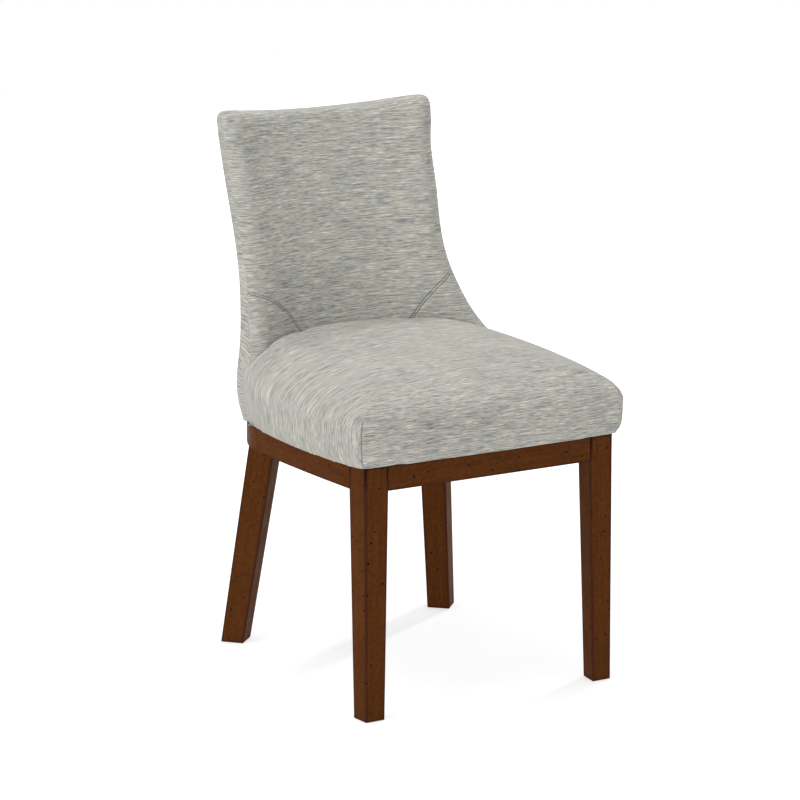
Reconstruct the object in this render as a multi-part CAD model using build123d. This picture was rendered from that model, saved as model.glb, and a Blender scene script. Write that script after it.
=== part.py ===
"""Upholstered dining chair: a show-wood base, a domed seat and a raked back with swept wings.

Built with Y = 0 on the front face of the front rail and Z = 0 on the floor; at the end every
piece is moved so that the origin lies on the floor under the middle of the chair.
The chair faces -Y, and +X is to the right of someone who looks at its front.
"""
import os
from math import atan, atan2, cos, degrees, hypot, pi, radians, sin, sqrt, tan

from build123d import *

os.makedirs("parts", exist_ok=True)

# Base frame
rail_bottom = 359.0
rail_height = 41.0
rail_thickness = 22.0
frame_front_width = 441.0
frame_middle_width = 468.0
side_middle_depth = 165.0
side_end_depth = 330.0
frame_depth = 518.0
rear_arc_radius = 246.0
rear_corner_radius = 120.0

# Front legs: their side faces follow the side rails
front_leg_size = 40.6
front_foot_size = 32.5
front_foot_width = 442.0
front_foot_lead = 3.0
front_leg_skew = 6.0

# Rear legs: turned towards the rear corners and splayed that way
rear_leg_size = 44.0
rear_foot_size = 38.0
rear_leg_angle = 46.5
rear_leg_splay = 59.0

# Foot glides
glide_radius = 9.0
glide_height = 0.8
glide_pin_radius = 1.5
glide_pin_length = 14.0

# Joinery of the base
dowel_radius = 4.0
dowel_length = 36.0
dowel_spacing = 18.0
block_height = 30.0
block_drop = 4.0
front_block_side = 105.0
rear_block_depth = 62.0
rear_block_reach = 110.0
rear_block_back = 16.0
screw_radius = 2.2
screw_head_radius = 4.5
screw_head_height = 3.0
block_screw_bite = 24.0
seat_screw_bite = 9.0
front_seat_screw_offset = 25.0
front_seat_screw_setback = 14.0
rear_seat_screw_offset = 60.0
rear_seat_screw_setback = 14.0
fit_gap = 0.2

# Seat
cover_thickness = 1.6
cover_turn_under = 18.0
board_thickness = 12.0
board_setback = 8.0
seat_rise = 119.5
seat_bulge_rise = 52.0
seat_side_overhang = 6.0
seat_side_bulge = 17.0
seat_crown_width = 80.0
seat_side_puff = 8.0
seat_rear_width = 460.0
seat_front_overhang = 5.0
seat_front_bulge = 13.0
seat_crown_rear_width = 160.0
seat_crown_front = 240.0
seat_fullness = 0.92
seat_front_bow = 6.0
seat_corner_radius = 16.0
seat_crown_corner_radius = 40.0
seat_rear_corner_radius = 30.0
seat_corner_limit = 0.9
seat_low_steps = 3
seat_high_steps = 5
dust_cover_thickness = 0.8
staple_length = 10.0
staple_thickness = 0.6
staple_inset = 4.0
staple_count = 22
soft_gap = 0.3
padding_gap = 0.8
seat_back_gap = 0.6
seat_tuck = 35.0

# Back upholstery
back_rise = 452.0
back_saddle = 11.5
back_peak_width = 312.0
back_top_round = 13.0
back_top_round_limit = 0.55
back_edge_radius = 24.0
back_waist_width = 374.0
back_top_width = 386.0
back_rake = 15.5
back_depth = 76.0
back_face_rise = 116.0
back_edge_lead = 7.4
back_crown_lean = 64.0
back_hollow_power = 1.4
wing_width = 490.0
wing_start_rise = 250.0
wing_rise = 60.0
wing_reach = 57.0
seam_foot_offset = 103.0
seam_foot_rise = 116.0
seam_head_offset = 181.0
seam_head_rise = 184.0

# Back frame
post_width = 36.0
post_thickness = 24.0
post_foot_offset = 98.0
post_setback = 71.0
post_head_offset = 136.0
post_tongue = 36.0
post_bend_rise = 30.0
crest_drop = 22.0
crest_height = 44.0
crest_thickness = 18.0
crest_width = 312.0
lower_rail_rise = 70.0
lower_rail_height = 40.0
lower_rail_thickness = 20.0
strap_width = 45.0
strap_thickness = 1.5
strap_overlap = 12.0
strap_count = 4
bolt_radius = 3.0
bolt_length = 56.0
bolt_head_radius = 6.0
bolt_head_height = 4.0
bolt_spacing = 18.0
washer_radius = 8.0
washer_thickness = 1.5

# Heights and depths that follow from the sizes above
rail_top = rail_bottom + rail_height
rail_middle = rail_bottom + rail_height / 2
rear_arc_centre = frame_depth - rear_arc_radius
block_bottom = rail_top - block_drop - block_height
board_bottom = rail_top + cover_thickness
board_top = board_bottom + board_thickness
seat_bulge_height = rail_top + seat_bulge_rise
seat_height = rail_top + seat_rise
back_face_height = rail_top + back_face_rise
back_face_depth = frame_depth - back_depth
back_crown_depth = frame_depth + back_crown_lean
back_height = rail_top + back_rise
wing_height = rail_top + wing_rise
wing_start_height = rail_top + wing_start_rise
seam_foot_height = rail_top + seam_foot_rise
seam_head_height = rail_top + seam_head_rise
post_bend_height = rail_top + post_bend_rise
post_foot_depth = frame_depth - post_setback
post_front = post_foot_depth - post_thickness / 2
crest_bottom = back_height - crest_drop - crest_height
lower_rail_bottom = rail_top + lower_rail_rise
SIDES = {"left": -1, "right": 1}


def mirrored(point):
    return (-point[0], point[1])


def slab(face, bottom, height):
    return Pos(0, 0, bottom) * extrude(face, height)


def rod(start, direction, radius, length):
    """Round rod from a start point along a direction."""
    return Plane(origin=start, z_dir=direction) * Pos(0, 0, length / 2) * Cylinder(radius, length)


def brick(x_range, y_range, z_range):
    size = [high - low for low, high in (x_range, y_range, z_range)]
    corner = (x_range[0], y_range[0], z_range[0])
    return Pos(*corner) * Box(*size, align=(Align.MIN, Align.MIN, Align.MIN))


# Base frame


def frame_plan(grow=0.0):
    """Plan of the base: straight front, bowed sides and a round back."""
    front = frame_front_width / 2 + grow
    middle = frame_middle_width / 2 + grow
    radius = rear_arc_radius + grow
    end = sqrt(radius**2 - (side_end_depth - rear_arc_centre) ** 2)
    edges = [Line((-front, -grow), (front, -grow))]
    for side in SIDES.values():
        corner = (side * front, -grow)
        edges.append(ThreePointArc(corner, (side * middle, side_middle_depth), (side * end, side_end_depth)))
    back = (0, rear_arc_centre + radius)
    edges.append(ThreePointArc((end, side_end_depth), back, (-end, side_end_depth)))
    plan = make_face(edges)
    return fillet(plan.vertices().sort_by(Axis.Y)[-2:], rear_corner_radius)


def front_leg_plan(side, outer, front, size):
    lean = size * tan(radians(front_leg_skew))
    inner, back = outer - size, front + size
    corners = [(outer, front), (inner, front), (inner + lean, back), (outer + lean, back)]
    return make_face(Polyline(*[(side * x, y) for x, y in corners], close=True))


def front_leg_room(side):
    """Corner of the frame that a front leg fills, reaching past the outline."""
    size = front_leg_size
    inner = frame_front_width / 2 - size
    past = inner + 2 * size
    lean = size * tan(radians(front_leg_skew))
    corners = [(inner, -size), (past, -size), (past, size), (inner + lean, size), (inner, 0)]
    return make_face(Polyline(*[(side * x, y) for x, y in corners], close=True))


def front_leg(side):
    outer = frame_front_width / 2
    foot = front_leg_plan(side, front_foot_width / 2, -front_foot_lead, front_foot_size)
    top = front_leg_plan(side, outer, 0, front_leg_size)
    shaft = loft([Pos(0, 0, glide_height) * foot, Pos(0, 0, rail_bottom) * top])
    return shaft + slab(top, rail_bottom, rail_height)


def rear_leg_axes(side):
    """Unit vectors of a rear leg: outwards along its splay, and across it towards the back."""
    angle = radians(rear_leg_angle)
    return Vector(side * cos(angle), sin(angle)), Vector(-side * sin(angle), cos(angle))


def rear_leg_centre(side):
    outwards, _ = rear_leg_axes(side)
    return Vector(0, rear_arc_centre) + outwards * (rear_arc_radius - rear_leg_size / 2)


def rear_leg_plane(side, outwards_shift, height):
    outwards, _ = rear_leg_axes(side)
    origin = rear_leg_centre(side) + outwards * outwards_shift + Vector(0, 0, height)
    return Plane(origin=origin, x_dir=outwards, z_dir=(0, 0, 1))


def rear_leg(side):
    top = Rectangle(rear_leg_size, rear_leg_size)
    foot = rear_leg_plane(side, rear_leg_splay, glide_height) * Rectangle(rear_foot_size, rear_foot_size)
    shaft = loft([foot, rear_leg_plane(side, 0, rail_bottom) * top])
    return shaft + extrude(rear_leg_plane(side, 0, rail_bottom) * top, rail_height)


def foot_centre(side, row):
    if row == "front":
        lean = front_foot_size * tan(radians(front_leg_skew))
        across = front_foot_width / 2 - front_foot_size / 2 + lean / 2
        return Vector(side * across, front_foot_size / 2 - front_foot_lead)
    outwards, _ = rear_leg_axes(side)
    return rear_leg_centre(side) + outwards * rear_leg_splay


def glide_pin(centre, gap=0.0):
    start = centre + Vector(0, 0, glide_height)
    return rod(start, Vector(0, 0, 1), glide_pin_radius + gap, glide_pin_length + gap)


def glide(centre):
    return rod(centre, Vector(0, 0, 1), glide_radius, glide_height) + glide_pin(centre)


def base_rails():
    """The ring of rails, cut where the legs stand, sorted into its four rails."""
    ring = frame_plan() - frame_plan(-rail_thickness)
    for side in SIDES.values():
        room = Rectangle(rear_leg_size * 2, rear_leg_size)
        ring -= front_leg_room(side)
        ring -= rear_leg_plane(side, rear_leg_size / 2, 0) * room
    rails = slab(ring, rail_bottom, rail_height).solids()
    by_depth = rails.sort_by(lambda rail: rail.center().Y)
    by_side = rails.sort_by(lambda rail: rail.center().X)
    return {
        "front_rail": by_depth[0],
        "back_rail": by_depth[-1],
        "side_rail_left": by_side[0],
        "side_rail_right": by_side[-1],
    }


def rail_joints(side):
    """Middle of each rail end that meets a leg on one side, with the direction into the rail."""
    half = rail_thickness / 2
    leg_inner = frame_front_width / 2 - front_leg_size
    leg_outer_back = frame_front_width / 2 + front_leg_size * tan(radians(front_leg_skew))
    yield Vector(side * leg_inner, half), Vector(-side, 0)
    yield Vector(side * (leg_outer_back - half), front_leg_size), Vector(0, 1)
    outwards, across = rear_leg_axes(side)
    flank = rear_leg_size / 2
    ring = rear_arc_radius - half
    along = sqrt(ring**2 - flank**2)
    for turn in (1, -1):
        yield Vector(0, rear_arc_centre) + outwards * along + across * (turn * flank), across * turn


def joint_dowels(gap=0.0):
    dowels = []
    length = dowel_length + 2 * gap
    for side in SIDES.values():
        for middle, direction in rail_joints(side):
            for lift in (-dowel_spacing / 2, dowel_spacing / 2):
                start = middle + Vector(0, 0, rail_middle + lift) - direction * (length / 2)
                dowels.append(rod(start, direction, dowel_radius + gap, length))
    return dowels


# Corner blocks and their screws


def front_block(side):
    """Triangular block behind a front leg, notched round it."""
    corner = frame_front_width / 2
    reach = front_block_side + front_leg_size
    corners = [(corner, 0), (corner - reach, 0), (corner, reach)]
    plan = make_face(Polyline(*[(side * x, y) for x, y in corners], close=True))
    plan = plan & frame_plan(-rail_thickness - fit_gap)
    return slab(plan - front_leg_room(side), block_bottom, block_height)


def rear_block(side):
    """Bar across the inner face of a rear leg, from the side rail inwards."""
    reach = rear_block_reach + rear_block_back
    shift = -(rear_leg_size + rear_block_depth) / 2
    middle = (rear_block_back - rear_block_reach) / 2
    outwards, across = rear_leg_axes(side)
    plane = rear_leg_plane(side, shift, 0)
    plan = plane * Pos(0, side * middle) * Rectangle(rear_block_depth, reach)
    return slab(plan & frame_plan(-rail_thickness - fit_gap), block_bottom, block_height)


def block_screw_lines(side):
    """Seat of each block screw on its block and the direction into the leg."""
    inner = frame_front_width / 2
    diagonal = Vector(side, -1).normalized()
    long_face = Vector(side * (inner - front_leg_size), front_leg_size) - diagonal * front_screw_run()
    yield long_face, diagonal
    outwards, _ = rear_leg_axes(side)
    face = rear_leg_centre(side) - outwards * (rear_leg_size / 2 + rear_block_depth)
    yield face, outwards


def front_screw_run():
    """Distance from the long face of a front block to the inner edge of the leg, square to the face."""
    corner = 2 * front_leg_size
    return (front_block_side + front_leg_size - corner) / sqrt(2)


def headed_screw(seat, direction, length, gap=0.0):
    """Screw whose head rests on the seat point; with a gap it is the hole for the shank."""
    shank = rod(seat, direction, screw_radius + gap, length + gap)
    if gap:
        return shank
    return shank + rod(seat - direction * screw_head_height, direction, screw_head_radius, screw_head_height)


def block_screws(gap=0.0):
    screws = []
    height = Vector(0, 0, block_bottom + block_height / 2)
    for side in SIDES.values():
        runs = (front_screw_run(), rear_block_depth)
        for (seat, direction), run in zip(block_screw_lines(side), runs):
            screws.append(headed_screw(seat + height, direction, run + block_screw_bite, gap))
    return screws


def seat_screw_spots():
    """Plan positions of the screws that rise through the corner blocks into the seat board."""
    for side in SIDES.values():
        front_offset = frame_front_width / 2 - front_leg_size - front_seat_screw_offset
        yield Vector(side * front_offset, rail_thickness + front_seat_screw_setback)
        outwards, across = rear_leg_axes(side)
        inwards_shift = rear_leg_size / 2 + rear_block_depth - rear_seat_screw_setback
        yield rear_leg_centre(side) - outwards * inwards_shift - across * rear_seat_screw_offset


def seat_screws(gap=0.0):
    length = board_bottom - block_bottom + seat_screw_bite
    upwards = Vector(0, 0, 1)
    return [headed_screw(spot + upwards * block_bottom, upwards, length, gap) for spot in seat_screw_spots()]


# Back upholstery


def face_depth(z):
    """Depth of the middle of the back's front face at height z."""
    return back_face_depth + tan(radians(back_rake)) * (z - back_face_height)


def outside_depth(z):
    """Depth of the middle of the back's rear face at height z."""
    rise = max(0.0, z - rail_top) / back_rise
    return frame_depth + back_crown_lean * rise**back_hollow_power


def edge_centre(z):
    """Half width and depth of the centre of the rounded side edge at height z."""
    widths = (back_waist_width, back_top_width, wing_width)
    waist, top, wing = [width / 2 - back_edge_radius for width in widths]
    rise = max(0.0, z - wing_start_height) / (back_height - wing_start_height)
    sweep = min(1.0, max(0.0, wing_start_height - z) / (wing_start_height - wing_height)) ** 2
    across = waist + (top - waist) * rise + (wing - waist) * sweep
    return across, face_depth(z) - back_edge_lead - wing_reach * sweep


def arc_centre(middle, end):
    """Depth of the centre of the arc that crosses the middle plane at one depth and passes an end point."""
    across, depth = end
    return (across**2 + depth**2 - middle**2) / (2 * (depth - middle))


def face_arcs(middle, end):
    """Arc across a face of the back, as two halves that meet in the middle plane."""
    centre = arc_centre(middle, end)
    radius = middle - centre
    turn = atan2(end[0], end[1] - centre) / 2
    half = [(0, middle), (radius * sin(turn), centre + radius * cos(turn)), end]
    return [ThreePointArc(*half), ThreePointArc(*[mirrored(point) for point in half])]


def back_section(z, inset=0.0):
    """Slice of the back: two arcs joined by rounded side edges that are tangent to both."""
    radius = back_edge_radius - inset
    front = face_depth(z) + inset
    rear = outside_depth(z) - inset
    edge = edge_centre(z)
    across, depth = edge
    angles = []
    for centre in (arc_centre(front + radius, edge), arc_centre(rear - radius, edge)):
        angles.append(atan((depth - centre) / across))
    front_angle, rear_angle = angles
    front_angle -= pi

    def on_edge(share):
        angle = front_angle + (rear_angle - front_angle) * share
        return (across + radius * cos(angle), depth + radius * sin(angle))

    points = [on_edge(share / 4) for share in range(5)]
    edges = face_arcs(front, points[0]) + face_arcs(rear, points[4])
    for start in (0, 2):
        quarter = points[start:start + 3]
        edges.append(ThreePointArc(*quarter))
        edges.append(ThreePointArc(*[mirrored(point) for point in quarter]))
    return Pos(0, 0, z) * make_face(edges)


def back_stations():
    """Heights of the slices, from just under the back to just over it."""
    start, end = rail_top - back_edge_radius, back_height + back_saddle * 2
    wing = [wing_height + (wing_start_height - wing_height) * share / 4 for share in range(5)]
    upper = [wing_start_height + (end - wing_start_height) * share / 3 for share in range(1, 4)]
    return [start, (start + wing_height) / 2, *wing, *upper]


def back_body(inset=0.0):
    """Form of the back before its top is shaped, with its foot left long."""
    return loft([back_section(z, inset) for z in back_stations()])


def back_form(inset=0.0):
    """Outer form of the back, drawn in all round by the inset, with its foot left long."""
    reach = wing_width
    top = back_height - inset
    tip = top + back_saddle * (2 * reach / back_peak_width) ** 2
    sides = [Line((-reach, 0), (reach, 0)), Line((reach, 0), (reach, tip)), Line((-reach, tip), (-reach, 0))]
    outline = make_face([*sides, ThreePointArc((reach, tip), (0, top), (-reach, tip))])
    body = back_body(inset) & extrude(Plane.XZ * outline, -2 * back_crown_depth)
    crown = body.faces().sort_by(Axis.Z)[-1]
    return fillet(crown.edges(), min(back_top_round, back_edge_radius * back_top_round_limit) - inset)


def back_front_half():
    """Everything in front of the middle of the back's thickness."""
    slices = []
    for z in back_stations():
        edge = edge_centre(z)
        middle = (face_depth(z) + outside_depth(z)) / 2
        centre = arc_centre(middle, edge)
        size = hypot(edge[0], edge[1] - centre)
        step = 2 * back_edge_radius / size
        tip = (edge[0] + step * (edge[1] - centre), edge[1] - step * edge[0])
        front = (tip[0], 0)
        rim = Polyline(edge, tip, front, mirrored(front), mirrored(tip), mirrored(edge))
        arc = ThreePointArc(mirrored(edge), (0, middle), edge)
        slices.append(Pos(0, 0, z) * make_face([*rim.edges(), arc]))
    return loft(slices)


def wing_room(side):
    """Everything outside the stitched seam on one side, from the seat up to the edge of the back."""
    foot = Vector(seam_foot_offset, seam_foot_height)
    head = Vector(seam_head_offset, seam_head_height)
    past = head + (head - foot).normalized() * (2 * back_edge_radius)
    points = [(foot.X, 0), (foot.X, foot.Y), (past.X, past.Y), (wing_width, past.Y), (wing_width, 0)]
    outline = make_face(Polyline(*[(side * x, z) for x, z in points], close=True))
    return extrude(Plane.XZ * outline, -2 * back_crown_depth)


def above(height):
    """Everything over a height, to trim a piece flat."""
    reach = 2 * back_crown_depth
    return brick((-reach, reach), (-reach, reach), (height, height + reach))


def back_covers():
    skin = (back_form() - back_form(cover_thickness)) & above(rail_top)
    half = back_front_half()
    covers = {"outside_back_cover": skin - half}
    inside = skin & half
    for name, side in SIDES.items():
        room = wing_room(side)
        covers["wing_panel_" + name] = inside & room
        inside -= room
    covers["inside_back_cover"] = inside
    return covers


# Back frame


def middle_depth(x, z):
    """Depth of the middle of the back's thickness."""
    middle = (face_depth(z) + outside_depth(z)) / 2
    centre = arc_centre(middle, edge_centre(z))
    return centre + sqrt((middle - centre) ** 2 - x**2)


post_head_depth = middle_depth(post_head_offset, crest_bottom)
post_slope = (post_head_depth - post_foot_depth) / (crest_bottom - post_bend_height)
post_lean = (post_head_offset - post_foot_offset) / (crest_bottom - post_bend_height)


def post_centre(z):
    """Half spacing and depth of the posts at height z, above their bend."""
    rise = z - post_bend_height
    return post_foot_offset + post_lean * rise, post_foot_depth + post_slope * rise


def post(side, gap=0.0):
    """Upright of the back: a tongue inside the back rail, a short straight foot and a raked shaft."""
    plan = Rectangle(post_width + 2 * gap, post_thickness + 2 * gap)
    head = post_centre(crest_bottom)
    foot_place = Pos(side * post_foot_offset, post_foot_depth, post_bend_height)
    shaft = loft([foot_place * plan, Pos(side * head[0], head[1], crest_bottom) * plan])
    foot = extrude(Pos(side * post_foot_offset, post_foot_depth, rail_top) * plan, post_bend_rise)
    half = post_width / 2 + gap
    x_range = (side * post_foot_offset - half, side * post_foot_offset + half)
    front = post_foot_depth - post_thickness / 2 - gap
    tongue = brick(x_range, (front, frame_depth), (rail_top - post_tongue, rail_top))
    hollow = rear_arc_radius - rail_thickness - fit_gap
    well = Cylinder(hollow, rail_top, align=(Align.CENTER, Align.CENTER, Align.MIN))
    return shaft + foot + (tongue & Pos(0, rear_arc_centre, 0) * well)


def crest(gap=0.0):
    """Curved top rail of the back frame, in the middle of the padding just over its lower edge."""
    middle_height = crest_bottom + crest_height / 4
    half = crest_width / 2 + gap
    front_edge, rear_edge = [
        [(x, middle_depth(x, middle_height) + shift) for x in (-half, 0, half)]
        for shift in (-crest_thickness / 2 - gap, crest_thickness / 2 + gap)
    ]
    ends = [Line(front_edge[index], rear_edge[index]) for index in (0, 2)]
    plan = make_face([ThreePointArc(*front_edge), ThreePointArc(*rear_edge), *ends])
    return slab(plan, crest_bottom - gap, crest_height + 2 * gap)


def lower_rail(gap=0.0):
    """Straight rail between the inner faces of the posts, behind the seat."""
    bottom, top = lower_rail_bottom - gap, lower_rail_bottom + lower_rail_height + gap
    low, high = [post_centre(z)[0] - post_width / 2 for z in (bottom, top)]
    outline = make_face(Polyline((-low, bottom), (low, bottom), (high, top), (-high, top), close=True))
    half = lower_rail_thickness / 2 + gap
    front = post_centre((bottom + top) / 2)[1] - half
    return Pos(0, front, 0) * extrude(Plane.XZ * outline, -2 * half)


def straps(gap=0.0):
    """Webbing straps across the rear of the posts."""
    low, high = lower_rail_bottom + lower_rail_height, crest_bottom
    pitch = (high - low) / strap_count
    tilt = atan(post_slope)
    pieces = []
    for index in range(strap_count):
        height = low + pitch * (index + 0.5)
        reach, depth = post_centre(height)
        middle = depth + post_thickness / 2 + strap_thickness / 2 / cos(tilt)
        size = (2 * (reach + strap_overlap + gap), strap_thickness + 2 * gap, strap_width + 2 * gap)
        pieces.append(Pos(0, middle, height) * Rot(-degrees(tilt), 0, 0) * Box(*size))
    return pieces


def back_dowels(gap=0.0):
    """Dowels from the posts up into the crest and across into the lower rail."""
    length = dowel_length + 2 * gap
    radius = dowel_radius + gap
    dowels = []
    rail_height_middle = lower_rail_bottom + lower_rail_height / 2
    for side in SIDES.values():
        across, depth = post_centre(crest_bottom)
        start = Vector(side * across, depth, crest_bottom - length / 2)
        dowels.append(rod(start, Vector(0, 0, 1), radius, length))
        across, depth = post_centre(rail_height_middle)
        face = across - post_width / 2
        start = Vector(side * (face - length / 2), depth, rail_height_middle)
        dowels.append(rod(start, Vector(side, 0, 0), radius, length))
    return dowels


def bolt_places():
    middle = rail_top - post_tongue / 2
    for side in SIDES.values():
        for lift in (-bolt_spacing / 2, bolt_spacing / 2):
            yield Vector(side * post_foot_offset, post_front, middle + lift)


def back_bolts(gap=0.0):
    """Bolts through the tongues of the posts into the back rail."""
    backwards = Vector(0, 1, 0)
    bolts = []
    for place in bolt_places():
        under_head = place - backwards * washer_thickness
        shank = rod(under_head, backwards, bolt_radius + gap, bolt_length + gap)
        if not gap:
            head_start = under_head - backwards * bolt_head_height
            shank += rod(head_start, backwards, bolt_head_radius, bolt_head_height)
        bolts.append(shank)
    return bolts


def back_washers():
    backwards = Vector(0, 1, 0)
    washers = []
    for place in bolt_places():
        start = place - backwards * washer_thickness
        disc = rod(start, backwards, washer_radius, washer_thickness)
        washers.append(disc - rod(start, backwards, bolt_radius + fit_gap, washer_thickness))
    return washers


# Seat


def turn_from_front(centre):
    """Sorting key that runs round an outline, starting with its front edge."""
    return lambda edge: round(atan2(edge.center().X - centre.X, centre.Y - edge.center().Y), 3) % (2 * pi)


def seat_plan(z, side_grow, rear_grow, front_grow, rear_gap, corner):
    """Outline of the seat at height z; its rear runs a gap in front of the back's face, or behind it."""
    centre = arc_centre(face_depth(z) + back_edge_radius, edge_centre(z))
    radius = face_depth(z) - centre - rear_gap
    front = frame_front_width / 2 + side_grow
    middle = frame_middle_width / 2 + (side_grow + rear_grow) / 2 + seat_side_puff
    rear = seat_rear_width / 2 + rear_grow
    rear_corner = (rear, centre + sqrt(radius**2 - rear**2))
    front_corner = (front, -front_grow)
    edges = [ThreePointArc(mirrored(front_corner), (0, -front_grow - seat_front_bow), front_corner)]
    edges.append(ThreePointArc(mirrored(rear_corner), (0, centre + radius), rear_corner))
    for side in SIDES.values():
        line = [front_corner, (middle, (front_corner[1] + rear_corner[1]) / 2), rear_corner]
        edges.append(ThreePointArc(*[(side * x, y) for x, y in line]))
    plan = make_face(edges)
    plan = fillet(plan.vertices().sort_by(Axis.Y)[:2], min(corner, front * seat_corner_limit))
    plan = fillet(plan.vertices().sort_by(Axis.Y)[-2:], seat_rear_corner_radius)
    return make_face(plan.edges().sort_by(turn_from_front(plan.center())))


def seat_slice(turn, height, runs, corner, inset, fullness=1.0):
    """Slice of the seat on its rounded edge, a turn away from the widest slice."""
    z = seat_bulge_height + height * sin(turn) ** fullness
    drawn_in = 1 - max(0.0, cos(turn)) ** fullness
    side_grow, rear_grow, front_grow = [
        bulge - run * drawn_in - inset
        for bulge, run in zip((seat_side_bulge, seat_side_bulge, seat_front_bulge), runs)
    ]
    radius = seat_corner_radius + (corner - seat_corner_radius) * drawn_in
    return Pos(0, 0, z) * seat_plan(z, side_grow, rear_grow, front_grow, -seat_tuck, radius)


def seat_form(inset=0.0):
    """Outer form of the seat, drawn in by the inset: bulging sides, a crown and a rear that hugs the back."""
    side_hem = seat_side_bulge - seat_side_overhang
    hem_runs = (side_hem, side_hem, seat_front_bulge - seat_front_overhang)
    crown_runs = (
        frame_front_width / 2 + seat_side_bulge - seat_crown_width / 2,
        seat_rear_width / 2 + seat_side_bulge - seat_crown_rear_width / 2,
        seat_crown_front + seat_front_bulge,
    )
    depth = seat_bulge_height - rail_top - inset
    rise = seat_height - inset - seat_bulge_height
    low_turns = [pi / 2 * step / seat_low_steps for step in range(seat_low_steps, 0, -1)]
    high_turns = [pi / 2 * step / seat_high_steps for step in range(seat_high_steps + 1)]
    low = [seat_slice(turn, -depth, hem_runs, seat_corner_radius, inset) for turn in low_turns]
    crown = (crown_runs, seat_crown_corner_radius, inset, seat_fullness)
    high = [seat_slice(turn, rise, *crown) for turn in high_turns]
    return loft([*low, high[0]]) + loft(high) - back_body(-seat_back_gap - inset)


def seat_board_plan(inset):
    """Flat outline at the foot of the seat, drawn in from the cover's lower edge."""
    side_grow = seat_side_overhang - inset
    front_grow = seat_front_overhang - inset
    return seat_plan(rail_top, side_grow, side_grow, front_grow, seat_back_gap + inset, seat_corner_radius)


def seat_cover():
    """Cloth over the seat, turned under the board all round."""
    opening = slab(seat_board_plan(cover_turn_under), rail_top, cover_thickness)
    return seat_form() - seat_form(cover_thickness) - opening


def staples():
    """Staples along the edge of the dust cover."""
    line = seat_board_plan(cover_turn_under + soft_gap + staple_inset).face().outer_wire()
    bottom = board_bottom - dust_cover_thickness - staple_thickness
    pieces = []
    for index in range(staple_count):
        share = index / staple_count
        spot, heading = line.position_at(share), line.tangent_at(share)
        place = Plane(origin=(spot.X, spot.Y, bottom), x_dir=heading, z_dir=(0, 0, 1))
        size = (staple_length, staple_thickness, staple_thickness)
        pieces.append(place * Box(*size, align=(Align.CENTER, Align.CENTER, Align.MIN)))
    return pieces


def seat_foam():
    """Padding that fills the cover and wraps the edge of the board."""
    room = slab(seat_board_plan(board_setback - soft_gap), rail_top, board_top + soft_gap - rail_top)
    return (seat_form(cover_thickness + padding_gap) & above(board_bottom + soft_gap)) - room


def seat_pieces():
    """Board, padding and cloth of the seat, with the holes for the screws."""
    holes = seat_screws(fit_gap)
    lining = seat_board_plan(cover_turn_under + soft_gap)
    return {
        "seat_board": slab(seat_board_plan(board_setback), board_bottom, board_thickness) - holes,
        "seat_foam": seat_foam(),
        "seat_cover": seat_cover(),
        "dust_cover": slab(lining, board_bottom - dust_cover_thickness, dust_cover_thickness) - holes,
    }


# Assembly


def base_pieces():
    """Legs, rails and corner blocks with the holes for their fixings."""
    dowel_holes = joint_dowels(fit_gap)
    screw_holes = block_screws(fit_gap)
    seat_holes = seat_screws(fit_gap)
    pieces = {name: rail - dowel_holes for name, rail in base_rails().items()}
    pieces["back_rail"] -= back_bolts(fit_gap)
    for name, side in SIDES.items():
        for row, make in (("front", front_leg), ("rear", rear_leg)):
            pin_hole = glide_pin(foot_centre(side, row), fit_gap)
            pieces[row + "_leg_" + name] = make(side) - dowel_holes - screw_holes - pin_hole
        for row, make in (("front", front_block), ("rear", rear_block)):
            pieces["corner_block_" + row + "_" + name] = make(side) - screw_holes - seat_holes
    return pieces


def back_frame():
    """Posts and rails inside the back, with the holes for their fixings."""
    holes = back_dowels(fit_gap)
    pieces = {"crest_rail": crest() - holes, "lower_back_rail": lower_rail() - holes}
    for name, side in SIDES.items():
        pieces["back_post_" + name] = post(side) - holes - back_bolts(fit_gap)
    return pieces


def back_lining():
    """Cloth that closes the foot of the back round the posts."""
    foot = back_body(cover_thickness + padding_gap) & above(rail_top) - above(rail_top + dust_cover_thickness)
    return foot - [post(side, soft_gap) for side in SIDES.values()]


def back_foam():
    """Padding that fills the cloth of the back, hollowed for the frame inside it."""
    padding = back_form(cover_thickness + padding_gap) & above(rail_top + dust_cover_thickness)
    frame = [post(side, soft_gap) for side in SIDES.values()]
    return padding - frame - crest(soft_gap) - lower_rail(soft_gap) - straps(soft_gap)


def fixings():
    """Sets of small pieces, each set kept as one node."""
    glides = [glide(foot_centre(side, row)) for side in SIDES.values() for row in ("front", "rear")]
    sets = {
        "rail_dowels": joint_dowels(),
        "block_screws": block_screws(),
        "foot_glides": glides,
        "seat_screws": seat_screws(),
        "dust_cover_staples": staples(),
        "back_dowels": back_dowels(),
        "back_webbing": straps(),
        "back_bolts": back_bolts(),
        "back_washers": back_washers(),
    }
    return {name: Compound(pieces) for name, pieces in sets.items()}


def save(pieces):
    """Centre the chair over the origin and write one file for each piece."""
    boxes = [piece.bounding_box() for piece in pieces.values()]
    middle = (min(box.min.Y for box in boxes) + max(box.max.Y for box in boxes)) / 2
    for name, piece in pieces.items():
        export_step(Pos(0, -middle, 0) * piece, "parts/" + name + ".step")


padding = {"back_foam": back_foam(), "back_lining": back_lining()}
save(base_pieces() | seat_pieces() | back_frame() | padding | back_covers() | fixings())
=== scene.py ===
"""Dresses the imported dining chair: stained show wood under a seat and back in a heathered weave."""
import math

import bmesh
import bpy
import numpy as np
from mathutils import Matrix, Vector
from mathutils.bvhtree import BVHTree


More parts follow.
